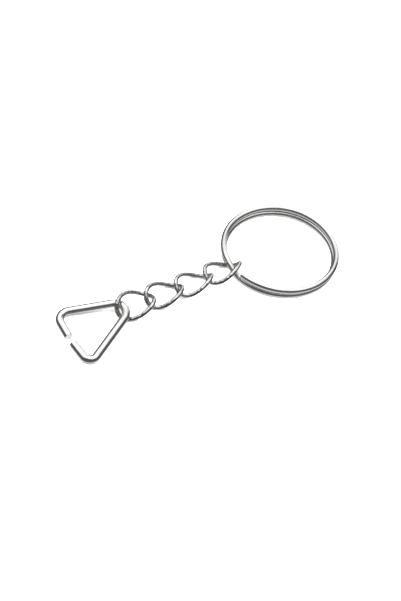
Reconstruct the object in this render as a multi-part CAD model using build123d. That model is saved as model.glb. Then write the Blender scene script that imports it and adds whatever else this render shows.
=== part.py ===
from build123d import *
from math import cos, pi, radians, sin
import os

# Split key ring with a short chain of twisted links and an open triangular end ring.
#
# Every piece is one length of plated wire. The split ring lies flat, the chain runs
# from it towards -X, and the triangle hangs on the last link. The origin is at the
# middle of the whole object's footprint, on the surface that it lies on.

# Split ring: flattened wire wound into two turns that lie on each other
RING_OUTER_DIAMETER = 25.0
RING_WIRE_WIDTH = 1.25
RING_WIRE_HEIGHT = 1.25
RING_WIRE_ROUNDING = 0.4
RING_TURN_GAP = 0.05
RING_LOWER_TURN_INSET = 0.22  # the lower turn is coiled this much tighter
RING_CROSSOVER_ANGLE = 26.0   # degrees in which the wire steps from one turn to the other
RING_END_LIFT = 0.4           # the upper turn's cut end is sprung open by this much
RING_END_LIFT_ANGLE = 100.0   # degrees in which the sprung end settles on the lower turn
RING_EASE_STEPS = 8           # spans in the smooth curve of a rise or a fall
RING_END_GAP_ANGLE = 0.8      # degrees between a cut end and the crossover
RING_CENTRE_X = 19.0

# Chain: round wire bent into ovals and twisted about their length
LINK_WIRE_DIAMETER = 0.95
LINK_SQUARENESS = 0.12        # how much fuller than an ellipse the oval is
LINK_SEAM_ANGLE = 205.0       # degrees round the oval where the bent wire's ends meet
LINK_SEAM_GAP = 0.12
LINK_POINTS = 28              # spline points round one link

# Twisted chain links: centre-line length and width, and twist of each end from the middle
CURB_LENGTH = 8.0
CURB_WIDTH = 5.3
CURB_TWIST = 43.0
END_LINK_LENGTH = 8.0
END_LINK_WIDTH = 5.5
END_LINK_TWIST = 43.0

# How each link lies: distance of its centre from the ring's centre, sideways place, roll
RING_LINK_REST = (-14.2, 0.3, -15.0)
MIDDLE_LINK_RESTS = ((-21.1, 0.35, -8.0), (-28.0, 0.6, 3.0))
TRIANGLE_LINK_REST = (-34.8, 0.5, 15.0)

# Triangle: round wire, open at a gap in its base, apex up on the last link's wire
TRIANGLE_WIRE_DIAMETER = 1.7
TRIANGLE_BASE = 14.3
TRIANGLE_HEIGHT = 15.7
TRIANGLE_APEX_OFFSET = 1.9    # the apex is bent this far from the middle of the base
TRIANGLE_BASE_BOW = 0.4       # the base's cut ends stand out by this much
TRIANGLE_GAP_START = 0.455    # shares of the base, from its +Y corner, where the gap lies
TRIANGLE_GAP_END = 0.57
TRIANGLE_SIDE_CORNER_RADIUS = 2.0
TRIANGLE_APEX_CORNER_RADIUS = 2.4
TRIANGLE_NEAR_CORNER_RADIUS = 1.4
TRIANGLE_TILT = 5.5           # degrees that the apex is propped up
TRIANGLE_BASE_REST = (-49.4, -0.9)


def ring_point(angle, height, inset=0.0):
    """A point on the split ring wire's centre line, from its angle in degrees."""
    radius = (RING_OUTER_DIAMETER - RING_WIRE_WIDTH) / 2 - inset
    return Vector(radius * cos(radians(angle)), radius * sin(radians(angle)), height)


def ring_section(angle, height, inset=0.0):
    """The wire's rounded section, standing across the wire at an angle in degrees."""
    centre = ring_point(angle, height, inset)
    forward = Vector(-sin(radians(angle)), cos(radians(angle)), 0)
    plane = Plane(origin=centre, x_dir=(centre.X, centre.Y, 0), z_dir=forward)
    return plane * RectangleRounded(RING_WIRE_WIDTH, RING_WIRE_HEIGHT, RING_WIRE_ROUNDING)


def ring_turn(start_angle, end_angle, height, inset=0.0):
    """A flat turn of the wire between two angles in degrees."""
    section = ring_section(start_angle, height, inset)
    return revolve(section, axis=Axis.Z, revolution_arc=end_angle - start_angle)


def ring_ease(start, end):
    """A stretch where the wire eases between two (angle, height, inset) places."""
    sections = []
    for step in range(RING_EASE_STEPS + 1):
        share = step / RING_EASE_STEPS
        fall = share * share * (3 - 2 * share)
        angle = start[0] + share * (end[0] - start[0])
        height = start[1] + fall * (end[1] - start[1])
        inset = start[2] + fall * (end[2] - start[2])
        sections.append(ring_section(angle, height, inset))
    return loft(sections)


def make_split_ring():
    """Two turns of flattened wire joined by a crossover, with both cut ends beside it."""
    inset = RING_LOWER_TURN_INSET
    bottom = RING_WIRE_HEIGHT / 2
    top = bottom + RING_WIRE_HEIGHT + RING_TURN_GAP
    half_crossover = RING_CROSSOVER_ANGLE / 2
    upper_start = 180 + half_crossover + RING_END_GAP_ANGLE
    settled = upper_start + RING_END_LIFT_ANGLE
    crossover_start = 540 - half_crossover
    crossover_end = 540 + half_crossover
    lower_end = 900 - half_crossover - RING_END_GAP_ANGLE
    ring = ring_ease((upper_start, top + RING_END_LIFT, 0), (settled, top, 0))
    ring += ring_turn(settled, crossover_start, top)
    ring += ring_ease((crossover_start, top, 0), (crossover_end, bottom, inset))
    ring += ring_turn(crossover_end, lower_end, bottom, inset)
    return Pos(RING_CENTRE_X, 0, 0) * ring


def link_point(angle, length, width, twist, roll):
    """A point on a link's centre line: a full oval, turned about X in step with X."""
    along = length / 2 * cos(angle) * (1 + LINK_SQUARENESS * sin(angle) ** 2)
    across = width / 2 * sin(angle) * (1 + LINK_SQUARENESS * cos(angle) ** 2)
    turn = radians(roll - twist * 2 * along / length)
    return Vector(along, across * cos(turn), across * sin(turn))


def make_link(length, width, twist, rest):
    """A twisted link lying on its lowest points, from its sizes and how it rests."""
    ring_distance, sideways, roll = rest
    mean_radius = (length + width) / 4
    seam = radians(LINK_SEAM_ANGLE)
    half_gap = LINK_SEAM_GAP / 2 / mean_radius
    points = []
    for step in range(LINK_POINTS + 1):
        angle = seam + half_gap + (2 * pi - 2 * half_gap) * step / LINK_POINTS
        points.append(link_point(angle, length, width, twist, roll))
    path = Spline(*points)
    section = Plane(origin=path @ 0, z_dir=path % 0) * Circle(LINK_WIRE_DIAMETER / 2)
    link = sweep(section, path=path)
    lowest = link.bounding_box().min.Z
    return Pos(RING_CENTRE_X + ring_distance, sideways, -lowest) * link


def make_triangle_ring():
    """An open triangle of round wire with its apex propped up by the last link."""
    half_base = TRIANGLE_BASE / 2
    far_corner = (0, half_base)
    apex = (TRIANGLE_HEIGHT, TRIANGLE_APEX_OFFSET)
    near_corner = (0, -half_base)
    far_end = (-TRIANGLE_BASE_BOW, half_base - TRIANGLE_GAP_START * TRIANGLE_BASE)
    near_end = (-TRIANGLE_BASE_BOW, half_base - TRIANGLE_GAP_END * TRIANGLE_BASE)
    radii = (TRIANGLE_SIDE_CORNER_RADIUS, TRIANGLE_APEX_CORNER_RADIUS, TRIANGLE_NEAR_CORNER_RADIUS)
    path = FilletPolyline(far_end, far_corner, apex, near_corner, near_end, radius=radii)
    section = Plane(origin=path @ 0, z_dir=path % 0) * Circle(TRIANGLE_WIRE_DIAMETER / 2)
    triangle = Rot(0, -TRIANGLE_TILT, 0) * sweep(section, path=path)
    lowest = triangle.bounding_box().min.Z
    base_distance, sideways = TRIANGLE_BASE_REST
    return Pos(RING_CENTRE_X + base_distance, sideways, -lowest) * triangle


def main():
    """Make every piece and write each one to its own file."""
    pieces = {"split_ring": make_split_ring()}
    pieces["ring_link"] = make_link(CURB_LENGTH, CURB_WIDTH, CURB_TWIST, RING_LINK_REST)
    for number, rest in enumerate(MIDDLE_LINK_RESTS, start=1):
        pieces[f"middle_link_{number}"] = make_link(CURB_LENGTH, CURB_WIDTH, CURB_TWIST, rest)
    pieces["triangle_link"] = make_link(
        END_LINK_LENGTH, END_LINK_WIDTH, END_LINK_TWIST, TRIANGLE_LINK_REST
    )
    pieces["triangle_ring"] = make_triangle_ring()
    os.makedirs("parts", exist_ok=True)
    for name, piece in pieces.items():
        piece.label = name
        export_step(piece, f"parts/{name}.step")


main()
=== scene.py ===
"""A split key ring on a short chain of twisted links that ends in an open wire triangle.

Every piece is one length of bright plated wire, worked out as a section carried along
its centre line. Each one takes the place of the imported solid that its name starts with.
"""

import bpy
import numpy as np
from bpy.props import FloatProperty, FloatVectorProperty, PointerProperty
from mathutils import Matrix, Vector


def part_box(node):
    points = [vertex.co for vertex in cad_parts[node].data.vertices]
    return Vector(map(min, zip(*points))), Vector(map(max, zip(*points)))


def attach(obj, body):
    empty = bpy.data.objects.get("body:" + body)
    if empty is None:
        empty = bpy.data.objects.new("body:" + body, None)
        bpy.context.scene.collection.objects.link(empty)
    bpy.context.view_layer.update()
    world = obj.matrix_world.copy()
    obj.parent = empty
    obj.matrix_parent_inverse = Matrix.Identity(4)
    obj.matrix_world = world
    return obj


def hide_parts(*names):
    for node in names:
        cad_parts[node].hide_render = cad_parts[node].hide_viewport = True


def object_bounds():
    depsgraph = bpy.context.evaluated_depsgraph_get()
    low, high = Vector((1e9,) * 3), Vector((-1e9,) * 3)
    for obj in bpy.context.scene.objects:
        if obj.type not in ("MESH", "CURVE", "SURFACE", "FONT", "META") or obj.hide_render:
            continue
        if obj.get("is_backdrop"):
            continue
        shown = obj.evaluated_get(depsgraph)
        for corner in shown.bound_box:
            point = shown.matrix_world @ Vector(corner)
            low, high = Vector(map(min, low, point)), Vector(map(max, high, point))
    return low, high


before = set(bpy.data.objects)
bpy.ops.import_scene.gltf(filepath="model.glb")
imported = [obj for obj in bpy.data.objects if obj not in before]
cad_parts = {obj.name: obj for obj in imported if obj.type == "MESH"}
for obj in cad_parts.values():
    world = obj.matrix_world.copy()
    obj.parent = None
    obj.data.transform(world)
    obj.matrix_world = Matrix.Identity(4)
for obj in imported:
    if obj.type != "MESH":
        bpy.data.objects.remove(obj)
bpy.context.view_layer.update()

bl_info = {
    "name": "Key ring with chain",
    "version": (1, 0, 0),
    "blender": (4, 5, 0),
    "location": "3D View > Sidebar > Key Ring",
    "description": "Builds a split key ring, its chain and its triangle, and a plain stage",
    "category": "Object",
}

MM = 0.001
TURN = 2 * np.pi

# How each link lies: its turn about its own length, in degrees
LINK_ROLLS = {
    "ring_link": -15.0,
    "middle_link_1": -8.0,
    "middle_link_2": 3.0,
    "triangle_link": 15.0,
}

# Points along each wire's centre line and round its section, and points on a bend
RING_POINTS = 1440
RING_COLUMNS = 48
LINK_POINTS = 300
LINK_COLUMNS = 36
TRIANGLE_POINTS = 700
TRIANGLE_COLUMNS = 44
BEND_POINTS = 48
# Power of a round section, as carry_section takes it
ROUND_SECTION = 2.0

# How far the rim of each wire's cut ends is rounded over, and the spans in that rounding
RING_END_ROUND = 0.12 * MM
LINK_END_ROUND = 0.08 * MM
TRIANGLE_END_ROUND = 0.14 * MM
RIM_SPANS = 5
# Rings of points on a cut face, as shares of its radius
FACE_RINGS = (0.75, 0.5, 0.25)
# Share of bare steel over the rim, from the wire to the face
RIM_STEEL = (0.0, 0.2, 0.6, 1.0)
# Where pieces rub: an angle on the ring, a power of the cosine round a link, a length at the apex
RING_RUB_ANGLE = 0.12
LINK_RUB_POWER = 8
APEX_RUB_LENGTH = 1.0 * MM

# How far the drawn lines, the fine lines and the scuffs are drawn out in each direction
LINE_STRETCH = (0.05, 1.0, 1.0)
FINE_LINE_STRETCH = (0.12, 1.0, 1.0)
SCUFF_STRETCH = (1.0, 1.6, 0.8)
# What each mark adds to the roughness of clean plating
HAZE_ROUGHNESS = 0.12
SCUFF_ROUGHNESS = 0.06
LINE_ROUGHNESS = 0.05
RUB_ROUGHNESS = 0.10
CUT_ROUGHNESS = 0.28
# Share of the steel's colour at a rubbed spot and at a cut, and how much less metallic a cut is
RUB_STEEL = 0.35
CUT_STEEL = 0.75
CUT_DULLNESS = 0.35

# Soft boxes: degrees round from +X, degrees up, half angles where bright and where dark, strength
SOFT_BOXES = (
    (-35.0, 74.0, 12.0, 46.0, 1.6),
    (118.0, 58.0, 15.0, 39.0, 1.5),
    (34.0, 2.0, 18.0, 44.0, 1.0),
    (47.0, 44.0, 8.0, 25.0, 1.2),
)
# Strength of the room on every side, and of the table with the slopes where dark and where bright
ROOM_GREY = 0.14
TABLE_LIGHT = 0.95
TABLE_EDGE = -0.4
TABLE_MIDDLE = -0.85


# ---------------------------------------------------------------- sizes and colours


class RingSizes(bpy.types.PropertyGroup):
    """Sizes of the split ring's wire and turns."""

    diameter: FloatProperty(
        name="Outer diameter", description="Across the outside of the turns",
        default=25.0 * MM, unit="LENGTH",
    )
    wire_width: FloatProperty(
        name="Wire width", description="Flattened wire, across the ring",
        default=1.25 * MM, unit="LENGTH",
    )
    wire_height: FloatProperty(
        name="Wire height", description="Flattened wire, through one turn",
        default=1.25 * MM, unit="LENGTH",
    )
    squareness: FloatProperty(
        name="Squareness", description="Power of the wire's section: 2 is round, more is squarer",
        default=2.25, min=2.0,
    )
    turn_gap: FloatProperty(
        name="Gap between turns", description="Space left between the two turns",
        default=0.05 * MM, unit="LENGTH",
    )
    lower_inset: FloatProperty(
        name="Lower turn inset", description="How much tighter the lower turn is coiled",
        default=0.22 * MM, unit="LENGTH",
    )
    end_lift: FloatProperty(
        name="End lift", description="How far the upper turn's cut end is sprung open",
        default=0.4 * MM, unit="LENGTH",
    )
    lift_angle: FloatProperty(
        name="Lift angle", description="Angle in which the sprung end settles on the lower turn",
        default=np.radians(100.0), subtype="ANGLE",
    )
    crossover: FloatProperty(
        name="Crossover", description="Angle in which the wire steps from one turn to the other",
        default=np.radians(26.0), subtype="ANGLE",
    )
    end_gap: FloatProperty(
        name="End gap", description="Angle between a cut end and the crossover",
        default=np.radians(0.8), subtype="ANGLE",
    )


class LinkSizes(bpy.types.PropertyGroup):
    """Sizes of the chain's twisted links."""

    wire: FloatProperty(
        name="Wire diameter", description="Round wire of the links",
        default=0.95 * MM, unit="LENGTH",
    )
    length: FloatProperty(
        name="Link length", description="Along the centre line of a twisted link",
        default=8.0 * MM, unit="LENGTH",
    )
    width: FloatProperty(
        name="Link width", description="Across the centre line of a twisted link",
        default=5.3 * MM, unit="LENGTH",
    )
    end_length: FloatProperty(
        name="End link length", description="Along the centre line of the link at the triangle",
        default=8.0 * MM, unit="LENGTH",
    )
    end_width: FloatProperty(
        name="End link width", description="Across the centre line of the link at the triangle",
        default=5.5 * MM, unit="LENGTH",
    )
    fullness: FloatProperty(
        name="Fullness", description="How much fuller than an ellipse the oval is",
        default=0.12,
    )
    twist: FloatProperty(
        name="Twist", description="Turn of each end of a link from its middle",
        default=np.radians(43.0), subtype="ANGLE",
    )
    seam_angle: FloatProperty(
        name="Seam place", description="Where round the oval the wire's two ends meet",
        default=np.radians(205.0), subtype="ANGLE",
    )
    seam_gap: FloatProperty(
        name="Seam gap", description="Space between the wire's two ends",
        default=0.12 * MM, unit="LENGTH",
    )


class TriangleSizes(bpy.types.PropertyGroup):
    """Sizes of the open triangle."""

    wire: FloatProperty(
        name="Wire diameter", description="Round wire of the triangle",
        default=1.7 * MM, unit="LENGTH",
    )
    base: FloatProperty(
        name="Base", description="Length of the open side between its corners",
        default=14.3 * MM, unit="LENGTH",
    )
    height: FloatProperty(
        name="Height", description="From the open side to the corner on the chain",
        default=15.7 * MM, unit="LENGTH",
    )
    apex_offset: FloatProperty(
        name="Apex offset", description="How far off the middle the corner on the chain is",
        default=1.9 * MM, unit="LENGTH",
    )
    bow: FloatProperty(
        name="Base bow", description="How far the cut ends stand out",
        default=0.4 * MM, unit="LENGTH",
    )
    gap_start: FloatProperty(
        name="Gap start", description="Share of the base where the gap begins",
        default=0.455, subtype="FACTOR",
    )
    gap_end: FloatProperty(
        name="Gap end", description="Share of the base where the gap stops",
        default=0.57, subtype="FACTOR",
    )
    side_radius: FloatProperty(
        name="Far corner radius", description="Bend of the far corner, on the centre line",
        default=2.0 * MM, unit="LENGTH",
    )
    apex_radius: FloatProperty(
        name="Apex radius", description="Bend of the corner on the chain, on the centre line",
        default=2.4 * MM, unit="LENGTH",
    )
    near_radius: FloatProperty(
        name="Near corner radius", description="Bend of the near corner, on the centre line",
        default=1.4 * MM, unit="LENGTH",
    )
    tilt: FloatProperty(
        name="Tilt", description="How far the corner on the chain is propped up",
        default=np.radians(5.5), subtype="ANGLE",
    )


class Finish(bpy.types.PropertyGroup):
    """Colours and shine of the plated wire."""

    nickel: FloatVectorProperty(
        name="Nickel", description="Bright plating",
        default=(0.74, 0.735, 0.725), size=3, subtype="COLOR", min=0.0, max=1.0,
    )
    dulled: FloatVectorProperty(
        name="Dulled nickel", description="Plating where it has hazed over",
        default=(0.50, 0.49, 0.475), size=3, subtype="COLOR", min=0.0, max=1.0,
    )
    bare_steel: FloatVectorProperty(
        name="Bare steel", description="Cut ends and worn spots",
        default=(0.62, 0.61, 0.60), size=3, subtype="COLOR", min=0.0, max=1.0,
    )
    floor: FloatVectorProperty(
        name="Floor", description="Plain pale surface that the object lies on",
        default=(0.86, 0.86, 0.86), size=3, subtype="COLOR", min=0.0, max=1.0,
    )
    shine: FloatProperty(
        name="Roughness", description="Roughness of clean plating",
        default=0.09, subtype="FACTOR",
    )


class Stage(bpy.types.PropertyGroup):
    """Camera and light."""

    azimuth: FloatProperty(
        name="Azimuth", description="Direction of the camera round the object",
        default=np.radians(-39.05), subtype="ANGLE",
    )
    elevation: FloatProperty(
        name="Elevation", description="Height of the camera above the surface, as an angle",
        default=np.radians(49.07), subtype="ANGLE",
    )
    roll: FloatProperty(
        name="Roll", description="Turn of the camera about its own view",
        default=np.radians(9.39), subtype="ANGLE",
    )
    distance: FloatProperty(
        name="Distance", description="From the camera to the point that it looks at",
        default=250.0 * MM, unit="LENGTH",
    )
    lens: FloatProperty(
        name="Lens", description="Focal length in millimetres",
        default=74.25,
    )
    target: FloatVectorProperty(
        name="Target", description="Point that the camera looks at",
        default=(-2.54 * MM, -3.31 * MM, 0.0), size=3, unit="LENGTH",
    )
    clip_start: FloatProperty(
        name="Clip start", description="Nearest distance that the camera sees",
        default=10.0 * MM, unit="LENGTH",
    )
    floor_size: FloatProperty(
        name="Floor size", description="Side of the square floor",
        default=5000.0 * MM, unit="LENGTH",
    )
    fill_size: FloatProperty(
        name="Fill size", description="Diameter of the light above",
        default=1.6, unit="LENGTH",
    )
    fill_height: FloatProperty(
        name="Fill height", description="Height of the light above the surface",
        default=1.0, unit="LENGTH",
    )
    fill_power: FloatProperty(
        name="Fill power", description="Power of the light above",
        default=70.0, unit="POWER",
    )


# ---------------------------------------------------------------- wire surfaces


def unit(vectors):
    """Each vector divided by its own length."""
    return vectors / np.linalg.norm(vectors, axis=-1, keepdims=True)


def ease(share):
    """A smooth rise from 0 to 1: 3 s^2 - 2 s^3, with s the share held between 0 and 1."""
    held = np.clip(share, 0, 1)
    return held**2 * (3 - 2 * held)


def lengths_along(path):
    """Distance of each point from the start: the running sum of the steps between points."""
    steps = np.linalg.norm(np.diff(path, axis=0), axis=1)
    return np.concatenate([[0.0], np.cumsum(steps)])


def wire_frames(path, reference):
    """Tangent, up and side at each point: up is the reference less its part along the tangent."""
    tangent = unit(np.gradient(path, axis=0))
    along = np.sum(reference * tangent, axis=1, keepdims=True)
    up = unit(reference - along * tangent)
    return tangent, up, np.cross(up, tangent)


def carry_section(name, path, reference, half_side, half_up, power, end_round, columns, marks):
    """Carries a wire's section along its centre line and closes both ends.

    The section is the closed curve |s / half_side|^power + |u / half_up|^power = 1 in the
    side and up directions. At each end it draws in along a quarter circle of end_round
    and then runs flat to the middle, which leaves a cut face with a softened rim.
    marks gives the share of wear at each point of the centre line.
    """
    tangent, up, side = wire_frames(path, reference)
    half_side = np.broadcast_to(half_side, len(path)).astype(float)
    half_up = np.broadcast_to(half_up, len(path)).astype(float)
    mean = (half_side[0] + half_up[0]) / 2
    quarter = np.linspace(0, np.pi / 2, RIM_SPANS + 1)[1:]
    shrink = 1 - end_round * (1 - np.cos(quarter)) / mean
    reach = end_round * (np.sin(quarter) - 1)
    face = shrink[-1] * np.array(FACE_RINGS)
    cap_scale = np.concatenate([shrink, face])
    cap_reach = np.concatenate([reach, np.zeros(len(face))]) + end_round
    caps = len(cap_scale)
    rows = np.concatenate([np.zeros(caps, int), np.arange(len(path)), np.full(caps, len(path) - 1)])
    scale = np.concatenate([cap_scale[::-1], np.ones(len(path)), cap_scale])
    shift = np.concatenate([-cap_reach[::-1], np.zeros(len(path)), cap_reach])
    centre = path[rows] + tangent[rows] * shift[:, None]
    distance = lengths_along(path)[rows] + shift
    angle = np.arange(columns) * TURN / columns
    cosine, sine = np.cos(angle), np.sin(angle)
    radius = (
        np.abs(cosine / half_side[rows, None]) ** power + np.abs(sine / half_up[rows, None]) ** power
    ) ** (-1 / power) * scale[:, None]
    across, above = radius * cosine, radius * sine
    grid = centre[:, None] + across[..., None] * side[rows, None] + above[..., None] * up[rows, None]
    poles = centre[[0, -1]]
    points = np.concatenate([grid.reshape(-1, 3), poles])
    cut = np.concatenate([np.ones(caps), np.zeros(len(path)), np.ones(caps)])
    cut[:caps][-len(RIM_STEEL):] = RIM_STEEL[::-1]
    cut[-caps:][:len(RIM_STEEL)] = RIM_STEEL
    worn = marks[rows]
    place = np.stack([np.broadcast_to(distance[:, None], across.shape), across, above], -1) / MM
    place_ends = np.stack([distance[[0, -1]], [0, 0], [0, 0]], -1) / MM
    wear = np.stack([cut, worn], -1)[:, None].repeat(columns, 1).reshape(-1, 2)
    wear = np.concatenate([wear, [[1.0, worn[0]], [1.0, worn[-1]]]])
    return wire_mesh(
        name, points, len(rows), columns, np.concatenate([place.reshape(-1, 3), place_ends]), wear
    )


def wire_mesh(name, points, rows, columns, place, wear):
    """Joins a grid of rows and columns of points, and one pole at each end, into a mesh."""
    row, column = np.meshgrid(np.arange(rows - 1), np.arange(columns), indexing="ij")
    ahead = (column + 1) % columns
    here, beyond = row * columns, (row + 1) * columns
    quads = np.stack([here + column, here + ahead, beyond + ahead, beyond + column], -1).reshape(-1, 4)
    around = np.arange(columns)
    next_one = (around + 1) % columns
    first_pole = np.full(columns, rows * columns)
    last = (rows - 1) * columns
    first_fan = np.stack([first_pole, next_one, around], -1)
    last_fan = np.stack([first_pole + 1, last + around, last + next_one], -1)
    mesh = bpy.data.meshes.new(name)
    mesh.from_pydata(points, [], quads.tolist() + first_fan.tolist() + last_fan.tolist())
    mesh.shade_smooth()
    drawn = mesh.attributes.new("drawn", "FLOAT_VECTOR", "POINT")
    drawn.data.foreach_set("vector", place.astype(np.float32).ravel())
    for index, kind in enumerate(("cut", "worn")):
        layer = mesh.attributes.new(kind, "FLOAT", "POINT")
        layer.data.foreach_set("value", wear[:, index].astype(np.float32))
    piece = bpy.data.objects.new(name, mesh)
    bpy.context.scene.collection.objects.link(piece)
    return piece


def middle(node):
    """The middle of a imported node's box across, and its lowest height."""
    low, high = (np.array(corner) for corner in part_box(node))
    return (low[0] + high[0]) / 2, (low[1] + high[1]) / 2, low[2]


def ring_path(sizes, end_round, count):
    """Two flat turns joined by a crossover.

    The angle runs evenly from one cut end to the other. The height is the upper turn's,
    less the whole step times 3 s^2 - 2 s^3, where s is the share of the crossover passed,
    and the radius draws in by the inset in the same way. The upper turn's cut end stands
    up by the lift, which settles in the same way over the lift angle.
    """
    radius = (sizes.diameter - sizes.wire_width) / 2
    bottom = sizes.wire_height / 2
    top = bottom + sizes.wire_height + sizes.turn_gap
    half = sizes.crossover / 2
    inset = end_round / radius
    start = np.pi + half + sizes.end_gap + inset
    angle = np.linspace(start, 5 * np.pi - half - sizes.end_gap - inset, count)
    fall = ease((angle - (3 * np.pi - half)) / sizes.crossover)
    settled = ease((angle - start + inset) / sizes.lift_angle)
    height = top - (top - bottom) * fall + sizes.end_lift * (1 - settled)
    around = radius - sizes.lower_inset * fall
    return np.stack([around * np.cos(angle), around * np.sin(angle), height], -1), angle


def link_path(sizes, length, width, roll, end_round, count):
    """An oval turned about its length in step with the distance along it.

    Along is length / 2 cos t (1 + f sin^2 t) and across is width / 2 sin t (1 + f cos^2 t),
    where f is the fullness. The plane of the oval is turned by roll, less twist times
    2 along / length.
    """
    half_gap = (sizes.seam_gap / 2 + end_round) * 4 / (length + width)
    t = np.linspace(sizes.seam_angle + half_gap, sizes.seam_angle + TURN - half_gap, count)
    along = length / 2 * np.cos(t) * (1 + sizes.fullness * np.sin(t) ** 2)
    across = width / 2 * np.sin(t) * (1 + sizes.fullness * np.cos(t) ** 2)
    turn = roll - sizes.twist * 2 * along / length
    path = np.stack([along, across * np.cos(turn), across * np.sin(turn)], -1)
    plane = np.stack([np.zeros(count), -np.sin(turn), np.cos(turn)], -1)
    return path, plane, t


def bent_path(corners, radii, count):
    """Straight runs joined by tangent arcs at the inner corners, in points evenly apart."""
    runs = [corners[:1]]
    for before, corner, after, radius in zip(corners, corners[1:], corners[2:], radii):
        inward, outward = unit(before - corner), unit(after - corner)
        half = np.arccos(np.clip(inward @ outward, -1, 1)) / 2
        centre = corner + unit(inward + outward) * radius / np.sin(half)
        start = corner + inward * radius / np.tan(half) - centre
        end = corner + outward * radius / np.tan(half) - centre
        share = np.linspace(0, 1, BEND_POINTS)[:, None]
        sweep = np.pi - 2 * half
        arc = (np.sin((1 - share) * sweep) * start + np.sin(share * sweep) * end) / np.sin(sweep)
        runs.append(centre + arc)
    runs.append(corners[-1:])
    path = np.concatenate(runs)
    distance = lengths_along(path)
    even = np.linspace(0, distance[-1], count)
    return np.stack([np.interp(even, distance, path[:, axis]) for axis in range(path.shape[1])], -1)


def triangle_path(sizes, end_round, count):
    """Three bent corners and two cut ends, in the plane of the triangle, then tilted."""
    half = sizes.base / 2
    far_end = np.array([-sizes.bow, half - sizes.gap_start * sizes.base])
    near_end = np.array([-sizes.bow, half - sizes.gap_end * sizes.base])
    corners = np.array(
        [far_end, (0, half), (sizes.height, sizes.apex_offset), (0, -half), near_end], float
    )
    corners[0] += unit(corners[1] - corners[0]) * end_round
    corners[-1] += unit(corners[-2] - corners[-1]) * end_round
    radii = (sizes.side_radius, sizes.apex_radius, sizes.near_radius)
    flat = bent_path(corners, radii, count)
    cosine, sine = np.cos(sizes.tilt), np.sin(sizes.tilt)
    path = np.stack([flat[:, 0] * cosine, flat[:, 1], flat[:, 0] * sine], -1)
    plane = np.tile([-sine, 0.0, cosine], (count, 1))
    return path, plane


# ---------------------------------------------------------------- materials


class Value:
    """A number that a shader works out: operators on it add Math nodes."""

    def __init__(self, shader, socket):
        self.shader = shader
        self.socket = socket

    def combine(self, operation, first, second):
        return self.shader.add("ShaderNodeMath", {"operation": operation}, {0: first, 1: second})

    def __add__(self, other):
        return self.combine("ADD", self, other)

    def __sub__(self, other):
        return self.combine("SUBTRACT", self, other)

    def __rsub__(self, other):
        return self.combine("SUBTRACT", other, self)

    def __mul__(self, other):
        return self.combine("MULTIPLY", self, other)

    __radd__ = __add__
    __rmul__ = __mul__


class Shader:
    """Builds one material's nodes."""

    def __init__(self, name, tree=None):
        if tree is None:
            self.material = bpy.data.materials.new(name)
            self.material.use_nodes = True
            tree = self.material.node_tree
        self.tree = tree
        self.tree.nodes.clear()

    def add(self, kind, settings=None, values=None, output=0):
        """Adds a node: its settings first, then the values or links of its sockets."""
        node = self.tree.nodes.new(kind)
        for key, setting in (settings or {}).items():
            setattr(node, key, setting)
        for key, value in (values or {}).items():
            if isinstance(value, Value):
                self.tree.links.new(value.socket, node.inputs[key])
            else:
                node.inputs[key].default_value = value
        return Value(self, node.outputs[output])

    def stretch(self, vector, scale):
        """A vector multiplied part by part."""
        return self.add("ShaderNodeVectorMath", {"operation": "MULTIPLY"}, {0: vector, 1: scale})

    def noise(self, vector, scale, detail=2.0, roughness=0.5):
        """Soft noise from 0 to 1."""
        return self.add(
            "ShaderNodeTexNoise", {},
            {"Vector": vector, "Scale": scale, "Detail": detail, "Roughness": roughness},
        )

    def between(self, value, low, high):
        """0 below low, 1 above high and a smooth rise between."""
        return self.add(
            "ShaderNodeMapRange", {"interpolation_type": "SMOOTHSTEP"},
            {"Value": value, "From Min": low, "From Max": high},
        )

    def blend(self, share, first, second):
        """A colour between two, by a share."""
        return self.add(
            "ShaderNodeMix", {"data_type": "RGBA"}, {0: share, 6: first, 7: second}, output=2
        )

    def bump(self, height, distance, normal=None):
        """A normal from a height from 0 to 1 that is worth a distance in metres."""
        values = {"Height": height, "Strength": 1.0, "Distance": distance}
        if normal is not None:
            values["Normal"] = normal
        return self.add("ShaderNodeBump", {}, values)

    def finish(self, surface):
        """Joins a surface to the material's output and gives the material."""
        node = self.tree.nodes.new("ShaderNodeOutputMaterial")
        self.tree.links.new(surface.socket, node.inputs["Surface"])
        return self.material


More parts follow.
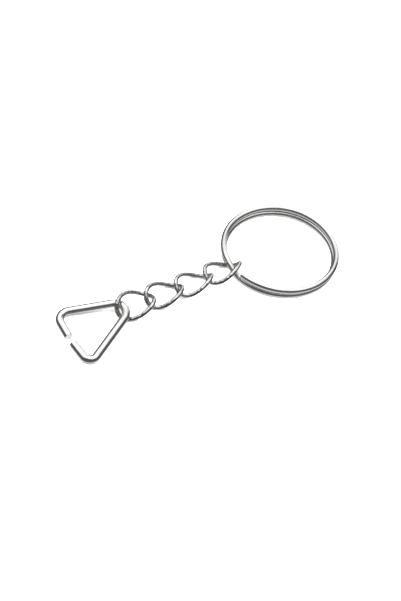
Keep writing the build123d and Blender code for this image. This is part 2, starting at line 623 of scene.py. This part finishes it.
def plated_wire(name, tone, draw_depth, dent_depth, dent_scale, haze):
    """Bright nickel plating on drawn steel wire.

    Fine lines run along the wire from the die that drew it, shallow dents and a faint
    orange-peel come from tumbling and plating, a thin haze dulls it in patches, and the
    steel shows at the cut ends and where the pieces rub. The lines repeat with each
    millimetre across the wire, and every other pattern with the metre.
    """
    finish = bpy.context.scene.key_ring_finish
    shader = Shader(name)
    wire = shader.add("ShaderNodeAttribute", {"attribute_name": "drawn"}, output=1)
    cut = shader.add("ShaderNodeAttribute", {"attribute_name": "cut"}, output=2)
    worn = shader.add("ShaderNodeAttribute", {"attribute_name": "worn"}, output=2)
    place = shader.add("ShaderNodeTexCoord", {}, output=3)
    lines = shader.noise(
        shader.stretch(wire, LINE_STRETCH), scale=9.0, detail=4.0, roughness=0.65
    )
    fine_lines = shader.noise(shader.stretch(wire, FINE_LINE_STRETCH), scale=34.0)
    peel = shader.noise(place, scale=2600.0, detail=3.0, roughness=0.55)
    dents = shader.noise(place, scale=dent_scale)
    patches = shader.noise(place, scale=260.0, detail=4.0, roughness=0.6)
    scratches = shader.noise(
        shader.stretch(place, SCUFF_STRETCH), scale=1500.0, detail=5.0, roughness=0.7
    )
    hazed = shader.between(patches, low=0.46, high=0.72) * haze
    scuffs = shader.between(scratches, low=0.56, high=0.7)
    rubbed = shader.between(worn + dents * 0.5 - 0.25, low=0.35, high=0.95)
    bright = (*(part * tone for part in finish.nickel), 1.0)
    dull = (*(part * tone for part in finish.dulled), 1.0)
    steel = (*finish.bare_steel, 1.0)
    plating = shader.blend(hazed, bright, dull)
    rubbed_plating = shader.blend(rubbed * RUB_STEEL, plating, steel)
    colour = shader.blend(cut * CUT_STEEL, rubbed_plating, steel)
    roughness = finish.shine + hazed * HAZE_ROUGHNESS + scuffs * SCUFF_ROUGHNESS
    roughness = roughness + fine_lines * LINE_ROUGHNESS + rubbed * RUB_ROUGHNESS
    roughness = roughness + cut * CUT_ROUGHNESS
    normal = shader.bump(dents, dent_depth)
    normal = shader.bump(lines, draw_depth, normal)
    normal = shader.bump(fine_lines * 0.6 + peel * 0.4, draw_depth * 0.25, normal)
    surface = shader.add(
        "ShaderNodeBsdfPrincipled", {},
        {
            "Base Color": colour,
            "Metallic": 1.0 - cut * CUT_DULLNESS,
            "Roughness": roughness,
            "Normal": normal,
        },
    )
    return shader.finish(surface)


def floor_paint():
    """Pale matt card with a faint tooth."""
    finish = bpy.context.scene.key_ring_finish
    shader = Shader("pale_card")
    place = shader.add("ShaderNodeTexCoord", {}, output=3)
    tooth = shader.noise(place, scale=900.0, detail=3.0)
    surface = shader.add(
        "ShaderNodeBsdfPrincipled", {},
        {
            "Base Color": (*finish.floor, 1.0),
            "Roughness": 0.7 + tooth * 0.1,
            "Normal": shader.bump(tooth, distance=0.01 * MM),
        },
    )
    return shader.finish(surface)


# ---------------------------------------------------------------- operators


def settle(piece, node):
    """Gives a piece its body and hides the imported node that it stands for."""
    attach(piece, f"{node}_body")
    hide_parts(node)


class KEYRING_OT_split_ring(bpy.types.Operator):
    """Wind the split ring from flattened wire."""

    bl_idname = "keyring.split_ring"
    bl_label = "Split ring"

    def execute(self, context):
        sizes = context.scene.key_ring_ring
        path, angle = ring_path(sizes, RING_END_ROUND, RING_POINTS)
        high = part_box("split_ring")[1]
        path = path + [high[0] - sizes.diameter / 2, 0.0, 0.0]
        downwards = np.tile([0.0, 0.0, -1.0], (len(path), 1))
        from_chain = np.abs(np.angle(np.exp(1j * (angle - np.pi))))
        piece = carry_section(
            "split_ring_wire", path, downwards, sizes.wire_width / 2, sizes.wire_height / 2,
            sizes.squareness, RING_END_ROUND, RING_COLUMNS,
            np.exp(-(from_chain / RING_RUB_ANGLE) ** 2),
        )
        material = plated_wire(
            "ring_nickel", tone=1.05, draw_depth=0.004 * MM, dent_depth=0.006 * MM,
            dent_scale=900.0, haze=0.4,
        )
        piece.data.materials.append(material)
        settle(piece, "split_ring")
        return {"FINISHED"}


class KEYRING_OT_links(bpy.types.Operator):
    """Bend and twist the four links of the chain."""

    bl_idname = "keyring.links"
    bl_label = "Chain links"

    def execute(self, context):
        sizes = context.scene.key_ring_links
        material = plated_wire(
            "chain_nickel", tone=0.8, draw_depth=0.005 * MM, dent_depth=0.16 * MM,
            dent_scale=1300.0, haze=0.7,
        )
        radius = sizes.wire / 2
        for node, roll in LINK_ROLLS.items():
            at_end = node == "triangle_link"
            length = sizes.end_length if at_end else sizes.length
            width = sizes.end_width if at_end else sizes.width
            path, plane, t = link_path(
                sizes, length, width, np.radians(roll), LINK_END_ROUND, LINK_POINTS
            )
            x, y, floor = middle(node)
            lift = floor + radius - path[:, 2].min()
            piece = carry_section(
                f"{node}_wire", path + [x, y, lift], plane, radius, radius, ROUND_SECTION,
                LINK_END_ROUND, LINK_COLUMNS, np.cos(t) ** LINK_RUB_POWER,
            )
            piece.data.materials.append(material)
            settle(piece, node)
        return {"FINISHED"}


class KEYRING_OT_triangle(bpy.types.Operator):
    """Bend the open triangle from round wire."""

    bl_idname = "keyring.triangle"
    bl_label = "Triangle"

    def execute(self, context):
        sizes = context.scene.key_ring_triangle
        path, plane = triangle_path(sizes, TRIANGLE_END_ROUND, TRIANGLE_POINTS)
        low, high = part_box("triangle_ring")
        radius = sizes.wire / 2
        shift = [
            high[0] - radius - path[:, 0].max(),
            low[1] + radius - path[:, 1].min(),
            low[2] + radius - path[:, 2].min(),
        ]
        from_apex = path[:, 0].max() - path[:, 0]
        piece = carry_section(
            "triangle_ring_wire", path + shift, plane, radius, radius, ROUND_SECTION,
            TRIANGLE_END_ROUND, TRIANGLE_COLUMNS, np.exp(-(from_apex / APEX_RUB_LENGTH) ** 2),
        )
        material = plated_wire(
            "triangle_nickel", tone=1.05, draw_depth=0.004 * MM, dent_depth=0.008 * MM,
            dent_scale=900.0, haze=0.4,
        )
        piece.data.materials.append(material)
        settle(piece, "triangle_ring")
        return {"FINISHED"}


class KEYRING_OT_stage(bpy.types.Operator):
    """Lay a plain pale floor, hang soft lights and set up the camera."""

    bl_idname = "keyring.stage"
    bl_label = "Stage"

    def execute(self, context):
        stage = context.scene.key_ring_stage
        lay_floor(stage.floor_size)
        hang_lights(stage)
        set_camera(context.scene, stage)
        context.scene.view_settings.view_transform = "Standard"
        return {"FINISHED"}


def lay_floor(size):
    """A square sheet at the object's lowest height."""
    half = size / 2
    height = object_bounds()[0][2]
    corners = [(x * half, y * half, height) for x, y in ((-1, -1), (1, -1), (1, 1), (-1, 1))]
    mesh = bpy.data.meshes.new("floor")
    mesh.from_pydata(corners, [], [(0, 1, 2, 3)])
    floor = bpy.data.objects.new("floor", mesh)
    bpy.context.scene.collection.objects.link(floor)
    mesh.materials.append(floor_paint())
    floor.visible_glossy = False
    floor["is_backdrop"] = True


def hang_lights(stage):
    """A broad fill from above that lights the floor, and a room for the metal to reflect."""
    light = bpy.data.lights.new("overhead_fill", "AREA")
    light.shape = "DISK"
    light.size = stage.fill_size
    light.energy = stage.fill_power
    lamp = bpy.data.objects.new("overhead_fill", light)
    lamp.location = (0.0, 0.0, stage.fill_height)
    lamp.visible_glossy = False
    bpy.context.scene.collection.objects.link(lamp)
    bpy.context.scene.world = studio_room()


def direction(azimuth, elevation):
    """A unit vector from degrees round from +X and degrees up from level."""
    a, e = np.radians(azimuth), np.radians(elevation)
    return np.cos(a) * np.cos(e), np.sin(a) * np.cos(e), np.sin(e)


def studio_room():
    """A dim room with bright soft boxes above and a pale table below.

    A direction's dot product with a soft box's own is the cosine of the angle between
    them: each box is dark below the cosine of its outer half angle and bright above that
    of its inner one. The table brightens as the direction slopes down.
    """
    world = bpy.data.worlds.new("room")
    world.use_nodes = True
    shader = Shader("room", world.node_tree)
    ray = shader.add("ShaderNodeTexCoord")
    height = shader.add("ShaderNodeSeparateXYZ", {}, {0: ray}, output=2)
    light = shader.between(height, TABLE_EDGE, TABLE_MIDDLE) * TABLE_LIGHT
    for azimuth, elevation, inner, outer, strength in SOFT_BOXES:
        dark, bright = np.cos(np.radians([outer, inner]))
        dot = shader.add(
            "ShaderNodeVectorMath", {"operation": "DOT_PRODUCT"},
            {0: ray, 1: direction(azimuth, elevation)}, output=1,
        )
        light = light + shader.between(dot, dark, bright) * strength
    background = shader.add("ShaderNodeBackground", {}, {"Strength": light + ROOM_GREY})
    output = world.node_tree.nodes.new("ShaderNodeOutputWorld")
    world.node_tree.links.new(background.socket, output.inputs["Surface"])
    return world


def set_camera(scene, stage):
    """Places the camera from its azimuth, elevation, roll and distance."""
    target = Vector(stage.target)
    a, e, r = stage.azimuth, stage.elevation, stage.roll
    back = Vector((np.sin(a) * np.cos(e), -np.cos(a) * np.cos(e), np.sin(e)))
    level = Vector((np.cos(a), np.sin(a), 0.0))
    above = back.cross(level)
    right = level * np.cos(r) + above * np.sin(r)
    up = above * np.cos(r) - level * np.sin(r)
    data = bpy.data.cameras.new("camera")
    data.lens = stage.lens
    data.clip_start = stage.clip_start
    camera = bpy.data.objects.new("camera", data)
    camera.matrix_world = Matrix.Translation(target + back * stage.distance) @ Matrix(
        (right, up, back)
    ).transposed().to_4x4()
    scene.collection.objects.link(camera)
    scene.camera = camera


class KEYRING_PT_panel(bpy.types.Panel):
    """Buttons for each piece and the stage."""

    bl_label = "Key ring"
    bl_space_type = "VIEW_3D"
    bl_region_type = "UI"
    bl_category = "Key Ring"

    def draw(self, context):
        for operator in OPERATORS:
            self.layout.operator(operator.bl_idname)


GROUPS = {
    "key_ring_ring": RingSizes,
    "key_ring_links": LinkSizes,
    "key_ring_triangle": TriangleSizes,
    "key_ring_finish": Finish,
    "key_ring_stage": Stage,
}
OPERATORS = (KEYRING_OT_split_ring, KEYRING_OT_links, KEYRING_OT_triangle, KEYRING_OT_stage)
CLASSES = (*GROUPS.values(), *OPERATORS, KEYRING_PT_panel)


def register():
    """Registers the classes and hangs the property groups on the scene."""
    for cls in CLASSES:
        bpy.utils.register_class(cls)
    for name, group in GROUPS.items():
        setattr(bpy.types.Scene, name, PointerProperty(type=group))


def unregister():
    """Takes the property groups and classes away again."""
    for name in GROUPS:
        delattr(bpy.types.Scene, name)
    for cls in reversed(CLASSES):
        bpy.utils.unregister_class(cls)


def main():
    """Builds every piece and the stage."""
    register()
    bpy.ops.keyring.split_ring()
    bpy.ops.keyring.links()
    bpy.ops.keyring.triangle()
    bpy.ops.keyring.stage()
    bpy.context.view_layer.update()


if __name__ == "__main__":
    main()
